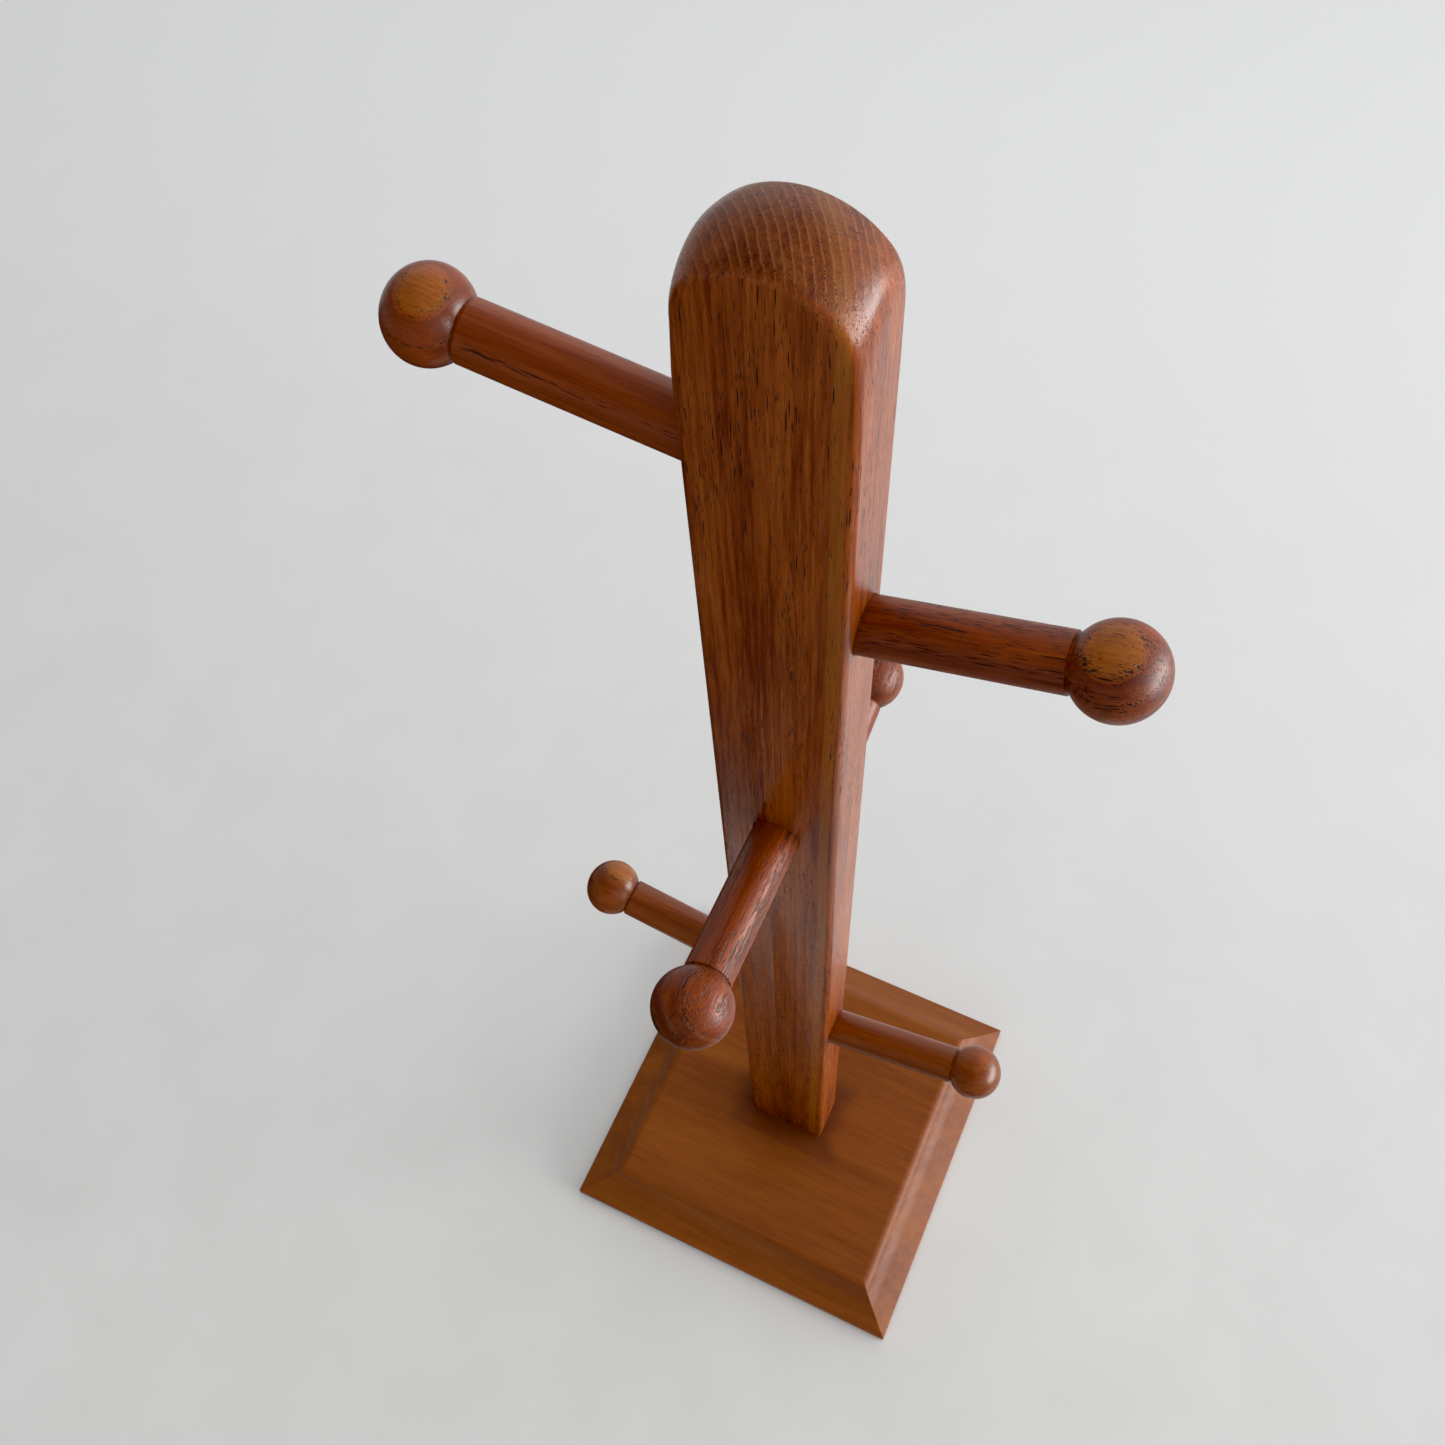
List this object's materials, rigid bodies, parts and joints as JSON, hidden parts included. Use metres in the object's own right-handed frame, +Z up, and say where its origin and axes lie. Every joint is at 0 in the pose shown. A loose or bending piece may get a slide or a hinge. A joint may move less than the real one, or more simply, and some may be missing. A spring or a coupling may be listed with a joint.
{
  "type": "mug tree",
  "caption": "Countertop mug tree: square moulded wooden base, slim rectangular post with a domed end, and upward-slanting turned pegs with ball ends for hanging mugs.",
  "frame": {"origin": "centre of the base's underside, on the surface that the mug tree stands on", "axes": "+Z up along the post; the post's two wide faces look along +Y and -Y and its two narrow faces along +X and -X, which is left and right of someone facing the wide front face at -Y"},
  "size_m": [0.1263, 0.12, 0.4251],
  "materials": {
    "base_wood": "oiled teak, satin",
    "post_wood": "oiled teak, satin",
    "peg_wood": "oiled turned teak, satin",
    "screw_steel": "plain steel, slightly dull"
  },
  "bodies": {
    "root": {"base_plate": "base_wood", "post": "post_wood", "peg_upper_left": "peg_wood", "peg_upper_right": "peg_wood", "peg_middle_front": "peg_wood", "peg_middle_back": "peg_wood", "peg_lower_left": "peg_wood", "peg_lower_right": "peg_wood", "screw_left": "screw_steel", "screw_right": "screw_steel"}
  },
  "joints": []
}
